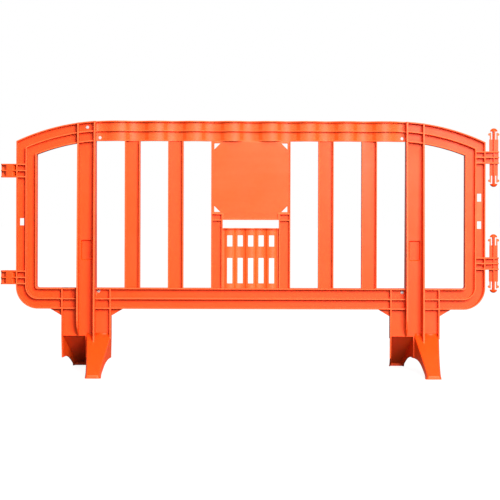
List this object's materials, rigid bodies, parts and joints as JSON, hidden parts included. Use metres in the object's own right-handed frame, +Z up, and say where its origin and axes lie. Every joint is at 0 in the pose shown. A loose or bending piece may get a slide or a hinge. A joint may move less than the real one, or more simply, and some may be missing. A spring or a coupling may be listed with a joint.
{
  "type": "open-rib plastic barrier",
  "caption": "Free-standing orange ribbed plastic barrier panel on offset hollow feet, with hinge sockets at one end and double-ended snap pins at the other.",
  "frame": {"origin": "middle of the overall box, on the ground", "axes": "+X along the panel towards the hinge pins, +Y from the front to the back, +Z up"},
  "size_m": [2.105, 0.56, 1.0606],
  "materials": {
    "orange_plastic": "satin moulded polyolefin",
    "rivet_metal": "dull"
  },
  "bodies": {
    "panel": {"bottom_rail": "orange_plastic", "grille": "orange_plastic", "left_bottom_corner": "orange_plastic", "left_front_foot": "orange_plastic", "left_leg": "orange_plastic", "left_post": "orange_plastic", "left_rear_foot": "orange_plastic", "left_sign_upright": "orange_plastic", "left_stile": "orange_plastic", "left_top_arch": "orange_plastic", "lower_hinge_pin": "orange_plastic", "lower_pin_bracket": "orange_plastic", "lower_socket": "orange_plastic", "right_bottom_corner": "orange_plastic", "right_front_foot": "orange_plastic", "right_leg": "orange_plastic", "right_post": "orange_plastic", "right_rear_foot": "orange_plastic", "right_sign_upright": "orange_plastic", "right_stile": "orange_plastic", "right_top_arch": "orange_plastic", "rivet_washers": "rivet_metal", "rivets": "rivet_metal", "sign_board": "orange_plastic", "slat_1": "orange_plastic", "slat_2": "orange_plastic", "slat_3": "orange_plastic", "slat_4": "orange_plastic", "top_rail": "orange_plastic", "upper_hinge_pin": "orange_plastic", "upper_pin_bracket": "orange_plastic", "upper_socket": "orange_plastic"},
    "lower_pin_bottom_inner_arm_body": {"lower_pin_bottom_inner_arm": "orange_plastic"},
    "lower_pin_bottom_outer_arm_body": {"lower_pin_bottom_outer_arm": "orange_plastic"},
    "lower_pin_top_inner_arm_body": {"lower_pin_top_inner_arm": "orange_plastic"},
    "lower_pin_top_outer_arm_body": {"lower_pin_top_outer_arm": "orange_plastic"},
    "upper_pin_bottom_inner_arm_body": {"upper_pin_bottom_inner_arm": "orange_plastic"},
    "upper_pin_bottom_outer_arm_body": {"upper_pin_bottom_outer_arm": "orange_plastic"},
    "upper_pin_top_inner_arm_body": {"upper_pin_top_inner_arm": "orange_plastic"},
    "upper_pin_top_outer_arm_body": {"upper_pin_top_outer_arm": "orange_plastic"}
  },
  "joints": [
    {"name": "lower_bottom_inner_snap", "type": "hinge", "parent": "panel", "child": "lower_pin_bottom_inner_arm_body", "pos_m": [1.0149, 0, 0.3852], "axis": [0, -1, 0], "range_deg": [0, 10], "stiffness_Nm_per_rad": 2},
    {"name": "lower_bottom_outer_snap", "type": "hinge", "parent": "panel", "child": "lower_pin_bottom_outer_arm_body", "pos_m": [1.0429, 0, 0.3852], "axis": [0, 1, 0], "range_deg": [0, 10], "stiffness_Nm_per_rad": 2},
    {"name": "lower_top_inner_snap", "type": "hinge", "parent": "panel", "child": "lower_pin_top_inner_arm_body", "pos_m": [1.0149, 0, 0.5384], "axis": [0, 1, 0], "range_deg": [0, 10], "stiffness_Nm_per_rad": 2},
    {"name": "lower_top_outer_snap", "type": "hinge", "parent": "panel", "child": "lower_pin_top_outer_arm_body", "pos_m": [1.0429, 0, 0.5384], "axis": [0, -1, 0], "range_deg": [0, 10], "stiffness_Nm_per_rad": 2},
    {"name": "upper_bottom_inner_snap", "type": "hinge", "parent": "panel", "child": "upper_pin_bottom_inner_arm_body", "pos_m": [1.0149, 0, 0.8328], "axis": [0, -1, 0], "range_deg": [0, 10], "stiffness_Nm_per_rad": 2},
    {"name": "upper_bottom_outer_snap", "type": "hinge", "parent": "panel", "child": "upper_pin_bottom_outer_arm_body", "pos_m": [1.0429, 0, 0.8328], "axis": [0, 1, 0], "range_deg": [0, 10], "stiffness_Nm_per_rad": 2},
    {"name": "upper_top_inner_snap", "type": "hinge", "parent": "panel", "child": "upper_pin_top_inner_arm_body", "pos_m": [1.0149, 0, 0.986], "axis": [0, 1, 0], "range_deg": [0, 10], "stiffness_Nm_per_rad": 2},
    {"name": "upper_top_outer_snap", "type": "hinge", "parent": "panel", "child": "upper_pin_top_outer_arm_body", "pos_m": [1.0429, 0, 0.986], "axis": [0, -1, 0], "range_deg": [0, 10], "stiffness_Nm_per_rad": 2}
  ]
}
